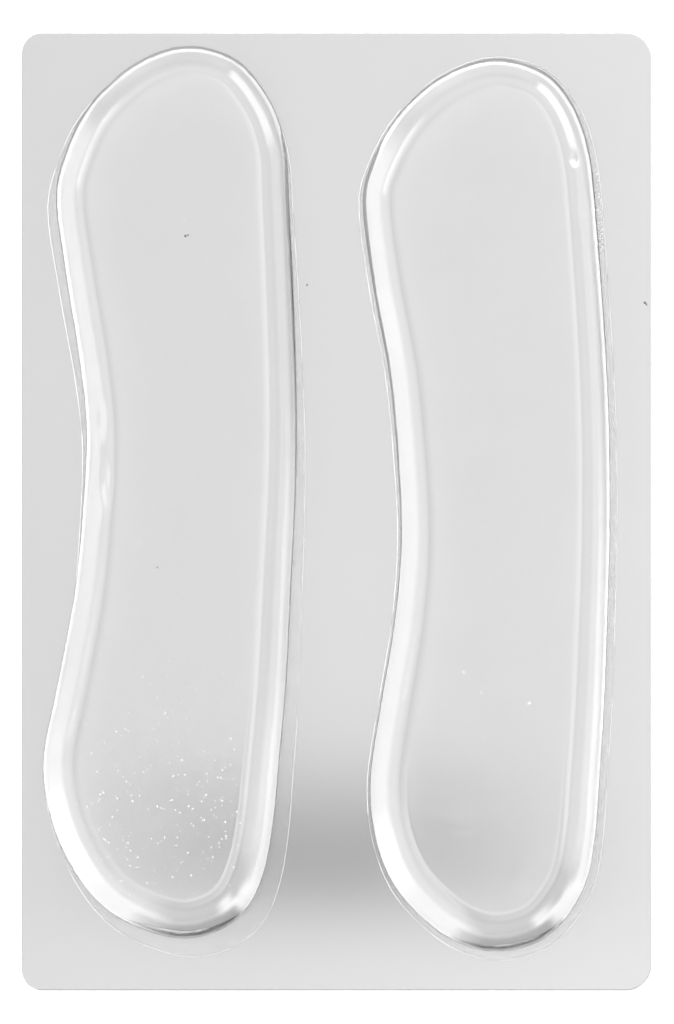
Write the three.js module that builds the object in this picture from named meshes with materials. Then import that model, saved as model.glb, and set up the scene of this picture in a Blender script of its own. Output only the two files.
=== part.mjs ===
// A pair of clear silicone shoe pads, lying side by side on the clear plastic sheet that they peel off.
// Millimetres. The origin is the middle of the sheet's underside, +Y runs towards the pads' upper ends,
// +X to the right and +Z up, away from the sheet.
import * as THREE from 'three';

// The gel pads
const padLength = 100;
const padWidth = 28;
const padThickness = 2;
const padLip = 0.2;
const rimAtUpperEnd = 3.4;
const rimAtLowerEnd = 4;
const rimFlatness = 2;

// The sheet round them
const sheetThickness = 0.5;
const leftMargin = 2.7;
const rightMargin = 4.6;
const upperMargin = 1.45;
const lowerMargin = 4.4;
const padSpacing = 7.4;
const padStagger = 1.45;
const leftCornerRadius = 2.4;
const rightCornerRadius = 3;

// The adhesive film under each pad, and the clearance between one layer and the next
const filmThickness = 0.12;
const layerClearance = 0.02;

// How finely the round stretches are divided
const outlineSteps = 128;
const rimSteps = 8;
const cornerSteps = 8;

const sheetWidth = leftMargin + padWidth + padSpacing + padWidth + rightMargin;
const sheetLength = lowerMargin + padLength + padStagger + upperMargin;
const filmBase = sheetThickness + layerClearance;
const padBase = filmBase + filmThickness + layerClearance;
const leftPadX = -sheetWidth / 2 + leftMargin + padWidth / 2;
const rightPadX = sheetWidth / 2 - rightMargin - padWidth / 2;
const leftPadY = sheetLength / 2 - upperMargin - padLength / 2;
const rightPadY = -sheetLength / 2 + lowerMargin + padLength / 2;

// Each pad's outline as it lies, in sections from its lower end to its upper end. along is a share of
// the pad's length; inner is the hollow-sided edge on the left and outer the bowed edge on the right,
// as shares of the pad's width to either side of its middle. The tips are the two ends' furthest points.
const leftPad = {
  lowerTip: 0.06,
  upperTip: 0.068,
  sections: [
    { along: 0.012, inner: -0.12, outer: 0.216 },
    { along: 0.035, inner: -0.264, outer: 0.312 },
    { along: 0.075, inner: -0.38, outer: 0.376 },
    { along: 0.13, inner: -0.47, outer: 0.414 },
    { along: 0.196, inner: -0.508, outer: 0.437 },
    { along: 0.28, inner: -0.453, outer: 0.464 },
    { along: 0.39, inner: -0.38, outer: 0.484 },
    { along: 0.5, inner: -0.344, outer: 0.503 },
    { along: 0.57, inner: -0.334, outer: 0.508 },
    { along: 0.64, inner: -0.358, outer: 0.504 },
    { along: 0.74, inner: -0.415, outer: 0.491 },
    { along: 0.839, inner: -0.456, outer: 0.474 },
    { along: 0.88, inner: -0.418, outer: 0.467 },
    { along: 0.925, inner: -0.344, outer: 0.424 },
    { along: 0.96, inner: -0.234, outer: 0.35 },
    { along: 0.985, inner: -0.108, outer: 0.265 },
  ],
};
const rightPad = {
  lowerTip: 0.034,
  upperTip: 0.034,
  sections: [
    { along: 0.012, inner: -0.126, outer: 0.215 },
    { along: 0.035, inner: -0.244, outer: 0.31 },
    { along: 0.075, inner: -0.37, outer: 0.396 },
    { along: 0.13, inner: -0.446, outer: 0.436 },
    { along: 0.19, inner: -0.466, outer: 0.452 },
    { along: 0.265, inner: -0.43, outer: 0.47 },
    { along: 0.37, inner: -0.368, outer: 0.485 },
    { along: 0.461, inner: -0.342, outer: 0.494 },
    { along: 0.56, inner: -0.358, outer: 0.494 },
    { along: 0.65, inner: -0.39, outer: 0.483 },
    { along: 0.75, inner: -0.456, outer: 0.461 },
    { along: 0.85, inner: -0.494, outer: 0.433 },
    { along: 0.88, inner: -0.464, outer: 0.422 },
    { along: 0.925, inner: -0.382, outer: 0.384 },
    { along: 0.96, inner: -0.274, outer: 0.322 },
    { along: 0.985, inner: -0.146, outer: 0.235 },
  ],
};

// How each film lies under its pad: its margin round the pad, how far it slipped, and how it is turned.
const leftFilm = { margin: 0.7, slipX: 0.35, slipY: -1.4, turnDegrees: 1 };
const rightFilm = { margin: 0.6, slipX: 0.22, slipY: -0.4, turnDegrees: 0.1 };

const clearSheet = new THREE.MeshStandardMaterial({
  color: 0xd9d9d9, roughness: 0.12, metalness: 0, transparent: true, opacity: 0.6,
});
const clearFilm = new THREE.MeshStandardMaterial({
  color: 0xe6e6e6, roughness: 0.2, metalness: 0, transparent: true, opacity: 0.4,
});
const clearGel = new THREE.MeshStandardMaterial({
  color: 0xf2f2f2, roughness: 0.06, metalness: 0, transparent: true, opacity: 0.5,
});

// The pad's outline as evenly spaced points, anticlockwise from above, about the middle of its box.
function padOutline({ lowerTip, upperTip, sections }) {
  const place = (across, along) => new THREE.Vector3(across * padWidth, (along - 0.5) * padLength, 0);
  const outerEdge = sections.map(({ along, outer }) => place(outer, along));
  const innerEdge = sections.map(({ along, inner }) => place(inner, along)).reverse();
  const knots = [place(lowerTip, 0), ...outerEdge, place(upperTip, 1), ...innerEdge];
  const curve = new THREE.CatmullRomCurve3(knots, true, 'centripetal');
  curve.arcLengthDivisions = outlineSteps * 10;
  return curve.getSpacedPoints(outlineSteps).slice(0, -1);
}

// The outline moved inwards by a distance that may differ from point to point, at one height.
function insetRing(outline, distanceAt, height) {
  return outline.map((point, i) => {
    const before = outline[(i + outline.length - 1) % outline.length];
    const after = outline[(i + 1) % outline.length];
    const ahead = new THREE.Vector3().subVectors(after, before).normalize();
    const inwards = new THREE.Vector3(-ahead.y, ahead.x, 0);
    return point.clone().addScaledVector(inwards, distanceAt(point)).setZ(height);
  });
}

// A closed solid of rings of points, from its flat underside up to its flat top.
function stackedSolid(rings) {
  const count = rings[0].length;
  const faces = [];
  for (let level = 0; level < rings.length - 1; level += 1) {
    for (let i = 0; i < count; i += 1) {
      const next = (i + 1) % count;
      const low = level * count;
      const high = low + count;
      faces.push(low + i, low + next, high + next);
      faces.push(low + i, high + next, high + i);
    }
  }
  const top = (rings.length - 1) * count;
  for (const [a, b, c] of THREE.ShapeUtils.triangulateShape(rings.at(-1), [])) {
    faces.push(top + a, top + b, top + c);
  }
  for (const [a, b, c] of THREE.ShapeUtils.triangulateShape(rings[0], [])) {
    faces.push(a, c, b);
  }
  const geometry = new THREE.BufferGeometry().setFromPoints(rings.flat());
  geometry.setIndex(faces);
  geometry.computeVertexNormals();
  return geometry;
}

// The gel pad: a low upright lip, then a rim domed up to the flat top, as a bead of poured gel is. A
// flatness of 1 rounds it as a quarter of an ellipse, and 2 as a parabola, which meets the lip at an
// angle. The rim is broader at the lower end than at the upper end.
function padGeometry(outline) {
  const rimAt = ({ y }) => THREE.MathUtils.lerp(rimAtLowerEnd, rimAtUpperEnd, y / padLength + 0.5);
  const rings = [insetRing(outline, () => 0, 0)];
  for (let step = 0; step <= rimSteps; step += 1) {
    const angle = (step / rimSteps) * (Math.PI / 2);
    const height = padLip + (padThickness - padLip) * Math.sin(angle) ** rimFlatness;
    rings.push(insetRing(outline, (point) => rimAt(point) * (1 - Math.cos(angle)), height));
  }
  return stackedSolid(rings);
}

// The film: the pad's outline grown by the film's margin, in a thin even layer.
function filmGeometry(outline, margin) {
  const grown = () => -margin;
  return stackedSolid([insetRing(outline, grown, 0), insetRing(outline, grown, filmThickness)]);
}

// The sheet: a rectangle with its four corners rounded.
function sheetGeometry() {
  const right = sheetWidth / 2;
  const upper = sheetLength / 2;
  const outline = new THREE.Shape();
  outline.absarc(right - rightCornerRadius, rightCornerRadius - upper, rightCornerRadius, -Math.PI / 2, 0);
  outline.absarc(right - rightCornerRadius, upper - rightCornerRadius, rightCornerRadius, 0, Math.PI / 2);
  outline.absarc(leftCornerRadius - right, upper - leftCornerRadius, leftCornerRadius, Math.PI / 2, Math.PI);
  outline.absarc(leftCornerRadius - right, leftCornerRadius - upper, leftCornerRadius, Math.PI, Math.PI * 1.5);
  outline.closePath();
  return new THREE.ExtrudeGeometry(outline, {
    depth: sheetThickness, bevelEnabled: false, curveSegments: cornerSteps,
  });
}

function namedMesh(name, geometry, material) {
  const mesh = new THREE.Mesh(geometry, material);
  mesh.name = name;
  return mesh;
}

// One pad with its film, as a group at the pad's place on the sheet.
function padWithFilm(side, pad, film, x, y) {
  const outline = padOutline(pad);
  const gel = namedMesh(`${side}_pad`, padGeometry(outline), clearGel);
  gel.position.z = padBase;
  const backing = namedMesh(`${side}_film`, filmGeometry(outline, film.margin), clearFilm);
  backing.position.set(film.slipX, film.slipY, filmBase);
  backing.rotation.z = THREE.MathUtils.degToRad(film.turnDegrees);
  const group = new THREE.Group();
  group.position.set(x, y, 0);
  group.add(gel, backing);
  return group;
}

const shoePads = new THREE.Group();
shoePads.add(namedMesh('backing_sheet', sheetGeometry(), clearSheet));
shoePads.add(padWithFilm('left', leftPad, leftFilm, leftPadX, leftPadY));
shoePads.add(padWithFilm('right', rightPad, rightFilm, rightPadX, rightPadY));

export default shoePads;
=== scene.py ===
import bpy
import math
import random
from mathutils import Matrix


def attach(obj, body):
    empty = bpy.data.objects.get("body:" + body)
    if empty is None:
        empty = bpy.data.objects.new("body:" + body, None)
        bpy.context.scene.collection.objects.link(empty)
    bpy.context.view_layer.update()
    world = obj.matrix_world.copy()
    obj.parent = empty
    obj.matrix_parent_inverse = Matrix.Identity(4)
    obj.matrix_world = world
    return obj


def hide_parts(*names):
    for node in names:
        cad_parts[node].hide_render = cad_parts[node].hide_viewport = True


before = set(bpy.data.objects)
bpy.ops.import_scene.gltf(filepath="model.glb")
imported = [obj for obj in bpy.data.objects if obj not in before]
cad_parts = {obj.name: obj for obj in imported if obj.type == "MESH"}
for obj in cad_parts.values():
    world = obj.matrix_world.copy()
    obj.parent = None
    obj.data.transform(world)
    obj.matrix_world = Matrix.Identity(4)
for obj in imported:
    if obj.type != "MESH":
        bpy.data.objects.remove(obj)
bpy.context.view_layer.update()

# The studio floor. It is plain white paper on a light table, laid flat and far wider than the object,
# and its face is a hair below the sheet's underside, so that the two don't lie in one plane.
MM = 0.001
FLOOR_SIDE = 4.0
FLOOR_DROP = 0.05 * MM
PAPER_GLOW = 0.35
PAPER_DARK = (0.93, 0.93, 0.93)
PAPER_LIGHT = (0.95, 0.95, 0.95)
PAPER_FIBRE = 900
# How much of its gloss a surface loses when it is seen flat, and the facings between which it does.
GLARE_LOST = 0.9
GLARE_FADE = (0.34, 0.66)


class Shade:
    """A value in a material's tree. Python's operators on it add the Math nodes."""

    def __init__(self, finish, socket):
        self.finish = finish
        self.socket = socket

    def math(self, operation, first, second=0.0):
        return self.finish.node("ShaderNodeMath", {"operation": operation}, {0: first, 1: second})

    def __add__(self, other):
        return self.math("ADD", self, other)

    def __radd__(self, other):
        return self.math("ADD", other, self)

    def __sub__(self, other):
        return self.math("SUBTRACT", self, other)

    def __rsub__(self, other):
        return self.math("SUBTRACT", other, self)

    def __mul__(self, other):
        return self.math("MULTIPLY", self, other)

    def __rmul__(self, other):
        return self.math("MULTIPLY", other, self)

    def __abs__(self):
        return self.math("ABSOLUTE", self)

    def __pow__(self, other):
        return self.math("POWER", self, other)

    def above(self, low, high):
        """0 where this value is under low, 1 where it is over high, and smooth between."""
        return self.finish.node(
            "ShaderNodeMapRange",
            {"interpolation_type": "SMOOTHSTEP"},
            {"Value": self, "From Min": low, "From Max": high},
        )


class Finish:
    """A material or world under construction. node() adds any node and gives one of its outputs."""

    def __init__(self, name, kept_in=bpy.data.materials, output="ShaderNodeOutputMaterial"):
        self.owner = kept_in.new(name)
        self.owner.use_nodes = True
        self.tree = self.owner.node_tree
        self.tree.nodes.clear()
        self.output = self.tree.nodes.new(output)

    def node(self, kind, settings=None, sockets=None, output=0):
        made = self.tree.nodes.new(kind)
        for key, value in (settings or {}).items():
            setattr(made, key, value)
        for key, value in (sockets or {}).items():
            if isinstance(value, Shade):
                self.tree.links.new(value.socket, made.inputs[key])
            else:
                made.inputs[key].default_value = value
        return Shade(self, made.outputs[output])

    def place(self):
        return self.node("ShaderNodeTexCoord", output="Object")

    def noise(self, per_metre, stretch=(1, 1, 1), detail=3.0, roughness=0.5):
        stretched = self.node("ShaderNodeMapping", sockets={"Vector": self.place(), "Scale": stretch})
        return self.node(
            "ShaderNodeTexNoise",
            sockets={"Vector": stretched, "Scale": per_metre, "Detail": detail, "Roughness": roughness},
        )

    def tone(self, amount, dark, light):
        return self.node(
            "ShaderNodeMix",
            {"data_type": "RGBA"},
            {"Factor": amount, "A": (*dark, 1), "B": (*light, 1)},
            output="Result",
        )

    def level(self):
        """The upward part of the surface's normal: 1 where it is level, 0 where it stands upright."""
        normal = self.node("ShaderNodeTexCoord", output="Normal")
        return self.node("ShaderNodeSeparateXYZ", sockets={"Vector": normal}, output="Z")

    def gloss(self):
        """Full seen from above, and less the flatter a surface is seen, as fine scuffs dull its glare."""
        facing = self.node("ShaderNodeLayerWeight", sockets={"Blend": 0.5}, output="Facing")
        return 1 - GLARE_LOST * facing.above(*GLARE_FADE)

    def relief(self, height, metres):
        return self.node("ShaderNodeBump", sockets={"Height": height, "Distance": metres, "Strength": 1.0})

    def done(self, shader):
        self.tree.links.new(shader.socket, self.output.inputs["Surface"])
        return self.owner


def deselect_all():
    bpy.ops.object.select_all(action="DESELECT")


def white_paper():
    finish = Finish("white_paper")
    fibre = finish.noise(PAPER_FIBRE, detail=4.0)
    paper = finish.node(
        "ShaderNodeBsdfPrincipled",
        sockets={
            "Base Color": finish.tone(fibre, PAPER_DARK, PAPER_LIGHT),
            "Roughness": 0.9,
            "Specular IOR Level": 0.0,
            "Emission Color": (1, 1, 1, 1),
            "Emission Strength": PAPER_GLOW,
        },
    )
    return finish.done(paper)


deselect_all()
bpy.ops.mesh.primitive_plane_add(size=FLOOR_SIDE, location=(0, 0, -FLOOR_DROP))
floor = bpy.context.object
floor.name = "studio_floor"
floor.data.materials.append(white_paper())

# The backing sheet. The real one is a clear, faintly grey plastic release sheet, about half a
# millimetre thick, die-cut to a rectangle with rounded corners; both pads are pressed onto it.
SHEET_EDGE_ROUND = 0.12 * MM
SHEET_BORDER = 0.1 * MM
SHEET_ALPHA = 0.72
SHEET_DARK = (0.18, 0.18, 0.18)
SHEET_LIGHT = (0.21, 0.21, 0.21)
SHEET_IOR = 2.55
# The cut edge is painted near white and nearly opaque: partly a die-cut edge's frosting, partly a painted
# highlight.
SHEET_EDGE_WHITE_AND_HIGHLIGHT = (0.95, 0.95, 0.95)
SHEET_EDGE_WHITE_AND_HIGHLIGHT_ALPHA = 0.95
LEVEL = 0.999
SMOOTH_UNDER = math.radians(40)


def merged_copy(node, name):
    """A new object with a CAD node's mesh, its doubles merged, open in edit mode with nothing selected."""
    deselect_all()
    piece = bpy.data.objects.new(name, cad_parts[node].data.copy())
    piece.data.name = name
    piece.data.materials.clear()
    bpy.context.scene.collection.objects.link(piece)
    piece.select_set(True)
    bpy.context.view_layer.objects.active = piece
    bpy.ops.object.mode_set(mode="EDIT")
    bpy.ops.mesh.select_mode(type="FACE")
    bpy.ops.mesh.select_all(action="SELECT")
    bpy.ops.mesh.remove_doubles(threshold=0.001 * MM)
    bpy.ops.mesh.customdata_custom_splitnormals_clear()
    bpy.ops.mesh.select_all(action="DESELECT")
    return piece


def select_faces(piece, wanted):
    """Selects the faces that wanted(face) is true for, and leaves the piece open in edit mode."""
    bpy.ops.mesh.select_mode(type="FACE")
    bpy.ops.mesh.select_all(action="DESELECT")
    bpy.ops.object.mode_set(mode="OBJECT")
    for face in piece.data.polygons:
        face.select = wanted(face)
    bpy.ops.object.mode_set(mode="EDIT")


def faces_up(face):
    return face.normal.z > LEVEL


def faces_down(face):
    return face.normal.z < -LEVEL


def one_face(piece, wanted):
    """Joins the flat faces that wanted(face) is true for into one face, which stays selected."""
    select_faces(piece, wanted)
    bpy.ops.mesh.dissolve_faces()
    select_faces(piece, wanted)


def finish_piece(piece, material):
    bpy.ops.object.mode_set(mode="OBJECT")
    piece.data.materials.append(material)
    bpy.ops.object.shade_smooth_by_angle(angle=SMOOTH_UNDER)


def clear_sheet():
    finish = Finish("clear_sheet")
    cloud = finish.noise(45, detail=2.0)
    draw_lines = finish.noise(700, stretch=(1, 0.03, 1), detail=3.0)
    scuffs = finish.noise(1500, detail=2.0).above(0.66, 0.74)
    wave = finish.noise(30, detail=1.0)
    # Level faces take the sheet's grey; the bevelled cut edge takes the near-white painted highlight and
    # its higher alpha.
    flat = abs(finish.level()).above(0.8, 0.98)
    grey = finish.node(
        "ShaderNodeMix",
        {"data_type": "RGBA"},
        {"Factor": flat, "A": (*SHEET_EDGE_WHITE_AND_HIGHLIGHT, 1), "B": finish.tone(cloud, SHEET_DARK, SHEET_LIGHT)},
        output="Result",
    )
    plastic = finish.node(
        "ShaderNodeBsdfPrincipled",
        sockets={
            "Base Color": grey,
            "Roughness": 0.06 + 0.02 * draw_lines + 0.06 * scuffs,
            "Specular IOR Level": 0.0,
            "Coat Weight": finish.gloss(),
            "Coat IOR": SHEET_IOR,
            "Coat Roughness": 0.05,
            "Alpha": SHEET_EDGE_WHITE_AND_HIGHLIGHT_ALPHA + (SHEET_ALPHA - SHEET_EDGE_WHITE_AND_HIGHLIGHT_ALPHA) * flat,
            "Normal": finish.relief(wave + 0.01 * draw_lines, 0.05 * MM),
        },
    )
    return finish.done(plastic)


# Specks of dust, each with its middle across and along the sheet and its radius, mm. They are flattened
# lumps that lie on whatever is under them.
SHEET_SPECKS = ((-3.3, 25.4, 0.12), (34.5, 23.4, 0.16), (34.7, 23.2, 0.12))
DARK_DUST = (0.12, 0.12, 0.12)
PALE_DUST = (0.96, 0.96, 0.96)
CLUMP_DARKENING = 0.85
SPECK_FLATNESS = 0.35
SPECKS_FROM = 20 * MM


def dust(name, shade):
    finish = Finish(name)
    clumps = finish.noise(9000, detail=2.0)
    grain = finish.node(
        "ShaderNodeBsdfPrincipled",
        sockets={
            "Base Color": finish.tone(clumps, tuple(CLUMP_DARKENING * part for part in shade), shade),
            "Roughness": 0.7 + 0.2 * clumps,
            "Normal": finish.relief(clumps, 0.01 * MM),
        },
    )
    return finish.done(grain)


def add_specks(piece, specks, material):
    """Joins specks to a piece, each where a plumb line over its place meets the piece, if it does."""
    lumps = []
    for across, along, radius in specks:
        hit, met, *_ = piece.ray_cast((across * MM, along * MM, SPECKS_FROM), (0, 0, -1))
        if not hit:
            continue
        deselect_all()
        bpy.ops.mesh.primitive_ico_sphere_add(subdivisions=1, radius=radius * MM, location=met)
        lumps.append(bpy.context.object)
        lumps[-1].scale.z = SPECK_FLATNESS
        lumps[-1].data.materials.append(material)
    for lump in (*lumps, piece):
        lump.select_set(True)
    bpy.context.view_layer.objects.active = piece
    bpy.ops.object.join()


sheet = merged_copy("backing_sheet", "sheet")
one_face(sheet, faces_up)
one_face(sheet, faces_down)
for flat in (faces_up, faces_down):
    select_faces(sheet, flat)
    bpy.ops.mesh.bevel(offset=SHEET_EDGE_ROUND, segments=3, affect="EDGES")
    select_faces(sheet, flat)
    bpy.ops.mesh.inset(thickness=SHEET_BORDER)
finish_piece(sheet, clear_sheet())
dark_dust = dust("dark_dust", DARK_DUST)
pale_dust = dust("pale_dust", PALE_DUST)
add_specks(sheet, SHEET_SPECKS, dark_dust)
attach(sheet, "root")
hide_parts("backing_sheet")

# The adhesive films. Each is a thin clear layer under its pad, cut a little larger than the pad and
# laid slightly askew. Its cut edge is painted as a fine, broken, near-white line: a painted highlight.
FILM_EDGE_ROUND = 0.08 * MM
FILM_BORDER = 0.05 * MM
# Near white, so where the film's cut edge is made opaque it shows as a painted highlight line.
FILM_DARK = (0.97, 0.97, 0.97)
FILM_LIGHT = (0.99, 0.99, 0.99)
FILM_IOR = 1.47
FILM_ALPHA = 0.04
FILM_HIGHLIGHT_LINE_ALPHA = (0.35, 1.0)


def adhesive_film():
    finish = Finish("adhesive_film")
    ripple = finish.noise(260, detail=3.0)
    flat = abs(finish.level()).above(0.9, 0.99)
    # The cut edge is made nearly opaque in broken stretches, so the near-white tone paints a highlight
    # line there.
    faint, strong = FILM_HIGHLIGHT_LINE_ALPHA
    painted_edge_line = faint + (strong - faint) * finish.noise(140, detail=4.0).above(0.34, 0.5)
    film = finish.node(
        "ShaderNodeBsdfPrincipled",
        sockets={
            "Base Color": finish.tone(ripple, FILM_DARK, FILM_LIGHT),
            "Roughness": 0.12 + 0.1 * ripple,
            "IOR": FILM_IOR,
            "Alpha": painted_edge_line + (FILM_ALPHA - painted_edge_line) * flat,
            "Normal": finish.relief(ripple, 0.02 * MM),
        },
    )
    return finish.done(film)


# A row of pale specks caught by the right film's outer edge, which bows out as it runs down, mm.
FILM_SPECK_COUNT = 44
FILM_SPECKS_LOW = 28.8
FILM_SPECKS_HIGH = 39.5
FILM_SPECKS_ACROSS = 29.2
FILM_EDGE_BOW = 0.045
FILM_SPECK_RADII = (0.07, 0.09, 0.11)

random.seed(4)
film_specks = []
for _ in range(FILM_SPECK_COUNT):
    along = random.uniform(FILM_SPECKS_LOW, FILM_SPECKS_HIGH)
    across = FILM_SPECKS_ACROSS + FILM_EDGE_BOW * (FILM_SPECKS_HIGH - along) + random.uniform(-0.25, 0.15)
    film_specks.append((across, along, random.choice(FILM_SPECK_RADII)))

film_finish = adhesive_film()
for side in ("left", "right"):
    film = merged_copy(f"{side}_film", f"{side}_adhesive")
    one_face(film, faces_down)
    one_face(film, faces_up)
    bpy.ops.mesh.bevel(offset=FILM_EDGE_ROUND, segments=3, affect="EDGES")
    select_faces(film, faces_up)
    bpy.ops.mesh.inset(thickness=FILM_BORDER)
    finish_piece(film, film_finish)
    if side == "right":
        add_specks(film, film_specks, pale_dust)
    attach(film, "root")
    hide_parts(f"{side}_film")

# The gel pads. Each is one poured piece of clear silicone gel with a glossy skin, a flat top and a
# rounded rim. Its tacky underside wets the film, except along a few arcs of its edge that stand off.
GEL_TINT_DARK = (0.975, 0.975, 0.975)
GEL_TINT_LIGHT = (0.99, 0.99, 0.99)
GEL_IOR = 1.41
GEL_SKIN_IOR = 1.57
STUCK_DARK = (0.96, 0.96, 0.96)
STUCK_LIGHT = (0.99, 0.99, 0.99)
STUCK_CLEARNESS = 0.5
RIM_RIPPLE = 6.0
RIM_SMEAR = 0.3
TOP_BORDERS = (0.45 * MM, 0.9 * MM)
GRID_COLUMNS = 12
DENTED_ABOVE = 1.0 * MM
UNDERSIDE_RING = 1.0 * MM
# Each loose arc: its middle across and along the sheet, its half length and how far in it reaches, mm.
LOOSE_ARCS = {
    "left": ((-17.2, -48.2, 9.0, 1.05), (-5.0, 24.5, 15, 0.3)),
    "right": ((19.5, -48.8, 8, 0.95), (29.2, 27.5, 16, 0.35)),
}


def clear_gel():
    finish = Finish("clear_gel")
    cloud = finish.noise(120, detail=3.0)
    swell = finish.noise(110, detail=1.0)
    level = finish.level()
    rim = 1 - level.above(0.93, 0.995)
    ripple = finish.noise(230, detail=3.0, roughness=0.6) * rim
    place = finish.place()
    across, along = (
        finish.node("ShaderNodeSeparateXYZ", sockets={"Vector": place}, output=axis) for axis in "XY"
    )
    skin_line = level.above(0.9975, 0.999) * finish.noise(90, detail=2.0).above(0.45, 0.6)
    skin_line = skin_line * across.above(0, 4 * MM) * (1 - along.above(-36 * MM, -32 * MM))
    smeared = (1 - across.above(-4 * MM, 0)) * along.above(-30 * MM, -16 * MM)
    gel = finish.node(
        "ShaderNodeBsdfPrincipled",
        sockets={
            "Base Color": finish.tone(cloud, GEL_TINT_DARK, GEL_TINT_LIGHT),
            "Roughness": 0.03 + 0.01 * cloud,
            "IOR": GEL_IOR,
            "Transmission Weight": 1.0,
            "Coat Weight": finish.gloss() - RIM_SMEAR * rim * smeared,
            "Coat IOR": GEL_SKIN_IOR,
            "Coat Roughness": 0.04,
            "Normal": finish.relief(swell + RIM_RIPPLE * ripple + 0.5 * skin_line, 0.012 * MM),
        },
    )
    return finish.done(gel)


def stuck_gel():
    """The gel's underside. It wets the film, so light passes on without bending, and half is scattered."""
    finish = Finish("stuck_gel")
    contact = finish.noise(300, detail=2.0)
    gel = finish.node(
        "ShaderNodeBsdfPrincipled",
        sockets={
            "Base Color": finish.tone(contact, STUCK_DARK, STUCK_LIGHT),
            "Roughness": 0.0,
            "IOR": 1.0,
            "Transmission Weight": STUCK_CLEARNESS,
        },
    )
    return finish.done(gel)


def loosen_underside(pad, arcs):
    """Draws the underside's ring in to a crescent at each loose arc, and gives the rest to the glue."""
    mesh = pad.data
    inner = max((face for face in mesh.polygons if faces_down(face)), key=lambda face: face.area)
    reach = {}
    for edge in mesh.edges:
        for here, there in (tuple(edge.vertices), tuple(reversed(edge.vertices))):
            if here in inner.vertices and there not in inner.vertices:
                outer = mesh.vertices[there].co
                reach[there] = 0.0
                for across, along, half_length, depth in arcs:
                    away = math.hypot(outer.x - across * MM, outer.y - along * MM) / (half_length * MM)
                    reach[there] = max(reach[there], (1 - away**2) * depth * MM)
                if reach[there] > 0:
                    inwards = mesh.vertices[here].co - outer
                    mesh.vertices[here].co = outer + inwards * (reach[there] / inwards.length)
    for face in mesh.polygons:
        outline = [reach[corner] for corner in face.vertices if corner in reach]
        loose = len(outline) == 2 and min(outline) > 0
        face.material_index = 1 if faces_down(face) and not loose else 0


# Dents where the left pad's waist was gripped, and a nick in the right pad's rim. Each: its middle
# across and along the sheet, its half width, half length and depth, mm.
DENTS = {
    "left": (
        (-26.3, 10.5, 0.5, 1.8, 0.12),
        (-25.8, 3.6, 0.5, 2.2, 0.16),
        (-26.9, 0.4, 0.5, 1.5, 0.12),
        (-26.6, 6.9, 0.4, 1.0, -0.08),
        (-27.0, 14.0, 0.4, 1.6, 0.08),
    ),
    "right": ((26.5, 39.4, 0.4, 0.4, 0.2), (27.6, 33.5, 0.4, 1.2, 0.08)),
}


def dent(pad, dents):
    for vertex in pad.data.vertices:
        if vertex.co.z > DENTED_ABOVE:
            for across, along, half_width, half_length, depth in dents:
                beside = (vertex.co.x / MM - across) / half_width
                beyond = (vertex.co.y / MM - along) / half_length
                vertex.co.z -= depth * MM * math.exp(-beside**2 - beyond**2)


def gel_pad(side, skin, underside):
    pad = merged_copy(f"{side}_pad", f"{side}_gel")
    pad.data.materials.append(skin)
    pad.data.materials.append(underside)
    select_faces(pad, faces_up)
    bpy.ops.mesh.delete(type="FACE")
    one_face(pad, faces_down)
    bpy.ops.mesh.select_mode(type="EDGE")
    bpy.ops.mesh.region_to_loop()
    bpy.ops.transform.edge_crease(value=1.0)
    select_faces(pad, lambda face: not faces_down(face))
    bpy.ops.mesh.tris_convert_to_quads(face_threshold=math.radians(60), shape_threshold=math.radians(80))
    bpy.ops.mesh.select_all(action="DESELECT")
    bpy.ops.mesh.select_mode(type="EDGE")
    bpy.ops.mesh.select_non_manifold()
    bpy.ops.mesh.edge_face_add()
    bpy.ops.mesh.select_mode(type="FACE")
    for border in TOP_BORDERS:
        bpy.ops.mesh.inset(thickness=border)
    bpy.ops.mesh.delete(type="ONLY_FACE")
    bpy.ops.mesh.select_mode(type="EDGE")
    bpy.ops.mesh.select_non_manifold()
    bpy.ops.mesh.fill_grid(span=GRID_COLUMNS)
    select_faces(pad, faces_down)
    bpy.ops.mesh.inset(thickness=UNDERSIDE_RING)
    bpy.ops.object.mode_set(mode="OBJECT")
    loosen_underside(pad, LOOSE_ARCS[side])
    bpy.ops.object.modifier_add(type="SUBSURF")
    pad.modifiers[0].levels = 2
    pad.modifiers[0].render_levels = 2
    bpy.ops.object.modifier_apply(modifier=pad.modifiers[0].name)
    dent(pad, DENTS[side])
    bpy.ops.object.shade_smooth_by_angle(angle=SMOOTH_UNDER)
    return pad


# Dust stuck to the gel, thick on the left pad's lower end, where it keeps to the rounded end's shape,
# and thin elsewhere, mm.
THICK_DUST_COUNT = 260
THICK_DUST_ACROSS = -20
THICK_DUST_HALF_WIDTH = 9.4
THICK_DUST_RADII = (0.07, 0.07, 0.08, 0.09, 0.12)
END_STARTS = -37
END_ROUNDNESS = 0.05
THIN_DUST_COUNT = 14
THIN_DUST_RADIUS = 0.09
DARK_SPECKS = ((-16.9, 30.8, 0.16), (-16.6, 30.9, 0.12), (-20.0, -6.2, 0.1))

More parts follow.
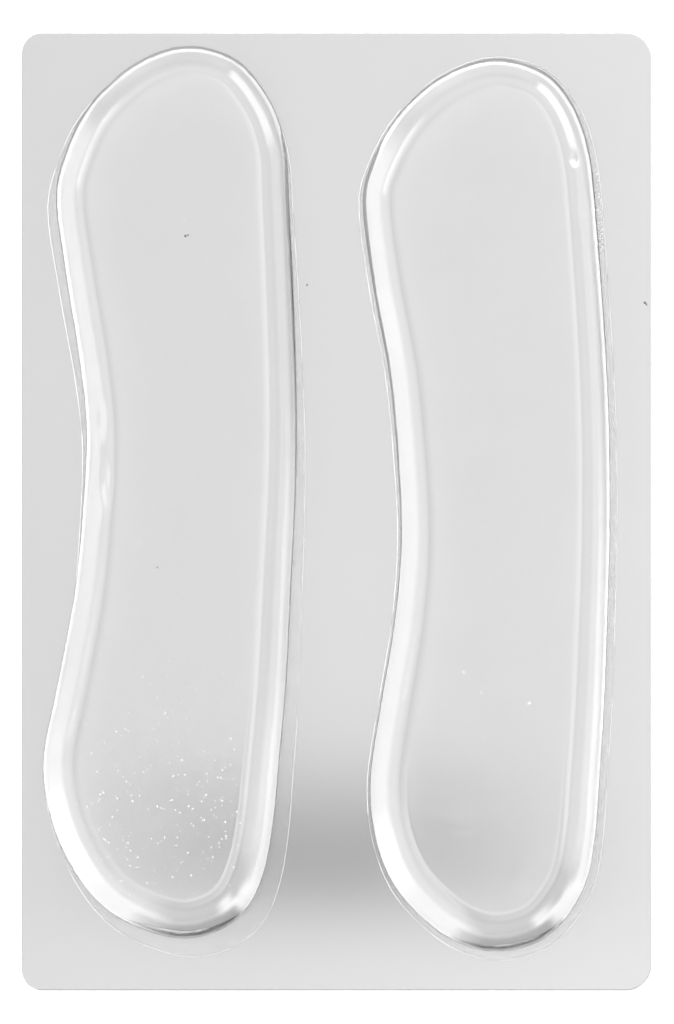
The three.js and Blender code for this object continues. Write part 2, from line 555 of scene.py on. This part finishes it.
gel_specks = {
    "left": [],
    "right": [(14.2, -17.9, 0.16), (16.1, -20.2, 0.13), (21.5, -21.4, 0.2), (16.3, -25.3, 0.12)],
}
while len(gel_specks["left"]) < THICK_DUST_COUNT:
    across = random.uniform(-29.5, -10.5)
    along = random.triangular(-45.5, -14.0, -39.0)
    half_width = THICK_DUST_HALF_WIDTH - END_ROUNDNESS * max(0.0, END_STARTS - along) ** 2
    if abs(across - THICK_DUST_ACROSS) < half_width:
        gel_specks["left"].append((across, along, random.choice(THICK_DUST_RADII)))
for _ in range(THIN_DUST_COUNT):
    gel_specks["left"].append((random.uniform(-26, -10), random.uniform(-8, 38), THIN_DUST_RADIUS))
    gel_specks["right"].append((random.uniform(9, 25), random.uniform(-40, 38), THIN_DUST_RADIUS))

gel_finish = clear_gel()
stuck_finish = stuck_gel()
for side in ("left", "right"):
    pad = gel_pad(side, gel_finish, stuck_finish)
    add_specks(pad, gel_specks[side], pale_dust)
    if side == "left":
        add_specks(pad, DARK_SPECKS, dark_dust)
    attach(pad, "root")
    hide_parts(f"{side}_pad")

# The camera looks straight down on the sheet, as the photograph does, through a long lens.
CAMERA_HEIGHT = 0.9
CAMERA_ACROSS = 0.045 * MM
CAMERA_ALONG = -0.022 * MM
PIXEL = 0.112 * MM
PICTURE_LENGTH = 1024 * PIXEL
SENSOR = 36.0
camera_data = bpy.data.cameras.new("camera")
camera_data.sensor_width = SENSOR
camera_data.lens = SENSOR * CAMERA_HEIGHT / PICTURE_LENGTH
camera_data.clip_end = 20
camera = bpy.data.objects.new("camera", camera_data)
camera.location = (CAMERA_ACROSS, CAMERA_ALONG, CAMERA_HEIGHT)
bpy.context.scene.collection.objects.link(camera)
bpy.context.scene.camera = camera
bpy.context.scene.view_settings.view_transform = "Standard"

# The light is a white studio drawn on the world: soft windows of light low down all round, which the
# gel's rims mirror as white bands, and a wide bright ceiling with a dark lens hole, which the flat tops
# mirror. Matt surfaces are lit by a dimmer set of windows, so that the sheet stays grey.
# Each window: azimuth from +X, half its width and the fade of its sides; where it starts from straight
# up and the fade there, where it ends and the fade there; radiance. Below 0 it shades what is behind.
MIRRORED_WINDOWS = (
    (182, 34, 18, 48, 16, 110, 18, 2.8),
    (224, 30, 18, 44, 16, 110, 18, 2.8),
    (153, 18, 10, 27, 10, 42, 10, 2.6),
    (134, 24, 18, 50, 18, 110, 18, 0.3),
    (36, 20, 12, 46, 12, 68, 10, 4.6),
    (2, 14, 12, 50, 12, 74, 12, 1.3),
    (-14, 13, 9, 66, 9, 110, 9, 2.6),
    (-18, 14, 14, 44, 14, 66, 14, 0.6),
    (-34, 9, 10, 52, 14, 84, 14, 2.6),
    (-50, 9, 14, 32, 14, 62, 14, 4.2),
    (96, 32, 18, 60, 18, 110, 18, 0.9),
    (0, 190, 10, 24, 10, 50, 20, 0.6),
    (296, 46, 14, 6, 4, 56, 16, -1.9),
    (280, 34, 10, 60, 12, 100, 10, -3.2),
)
HORIZON_START = 84
HORIZON_FADE = 8
HORIZON = 5.0
MIRRORED_ROOM = 3.3
LIGHTING_WINDOWS = (
    (135, 60, 20, 40, 20, 92, 20, 1.1),
    (190, 40, 20, 40, 20, 92, 20, 0.8),
    (-35, 30, 20, 40, 20, 92, 20, 0.7),
)
LIGHTING_ROOM = 0.92
CEILING = 0.3
CEILING_TILT = 6.0
CEILING_STRIP = 0.3
CEILING_STRIP_START = (0.048, 0.056)
CEILING_ENDS = (14, 20)
LENS_HOLE = 0.15
LENS_HOLE_AT = (-0.001, -0.0442)
LENS_HOLE_HALF_WIDTH = 0.0385
LENS_HOLE_ABOVE = 0.017
LENS_HOLE_BELOW = 0.009
LENS_HOLE_FADE = (-0.1, 1.05)
LENS_HOLE_SQUARENESS = 3.5

studio = Finish("studio", bpy.data.worlds, "ShaderNodeOutputWorld")
direction = studio.node("ShaderNodeTexCoord", output="Generated")
east, north, up = (
    studio.node("ShaderNodeSeparateXYZ", sockets={"Vector": direction}, output=axis) for axis in "XYZ"
)
azimuth = north.math("ARCTAN2", north, east)
slant = up.math("ARCCOSINE", up)


def fade_in(value, edge, fade):
    return value.above(math.radians(edge - fade / 2), math.radians(edge + fade / 2))


def window(at, half_width, side_fade, start, start_fade, end, end_fade, radiance):
    aside = abs(studio.node(
        "ShaderNodeMath", {"operation": "WRAP"}, {0: azimuth - math.radians(at), 1: math.pi, 2: -math.pi}
    ))
    within = (1 - fade_in(aside, half_width, side_fade)) * fade_in(slant, start, start_fade)
    return radiance * within * (1 - fade_in(slant, end, end_fade))


hole_x = (east - LENS_HOLE_AT[0]) * (1 / LENS_HOLE_HALF_WIDTH)
hole_y = north - LENS_HOLE_AT[1]
hole_y = hole_y.math("MAXIMUM", hole_y * (1 / LENS_HOLE_ABOVE), hole_y * (-1 / LENS_HOLE_BELOW))
from_hole = abs(hole_x) ** LENS_HOLE_SQUARENESS + hole_y**LENS_HOLE_SQUARENESS
from_hole = from_hole ** (1 / LENS_HOLE_SQUARENESS)
hole = LENS_HOLE + (1 - LENS_HOLE) * from_hole.above(*LENS_HOLE_FADE)
ceiling = CEILING + CEILING_TILT * east + CEILING_STRIP * (-1 * north).above(*CEILING_STRIP_START)
ceiling = (1 - slant.above(*(math.radians(edge) for edge in CEILING_ENDS))) * ceiling
mirrored = (MIRRORED_ROOM + ceiling) * hole
for row in MIRRORED_WINDOWS:
    mirrored = mirrored + window(*row)
mirrored = mirrored + HORIZON * fade_in(slant, HORIZON_START, HORIZON_FADE)
mirrored = mirrored.math("MAXIMUM", mirrored, 0.0)
lighting = window(*LIGHTING_WINDOWS[0]) + LIGHTING_ROOM
for row in LIGHTING_WINDOWS[1:]:
    lighting = lighting + window(*row)
scattered = studio.node("ShaderNodeLightPath", output="Diffuse Depth").above(0.4, 0.6)
brightness = mirrored * (1 - scattered) + lighting * scattered
bpy.context.scene.world = studio.done(
    studio.node("ShaderNodeBackground", sockets={"Color": (1, 1, 1, 1), "Strength": brightness})
)
bpy.context.scene.world.cycles.sampling_method = "NONE"
bpy.context.scene.cycles.max_bounces = 9
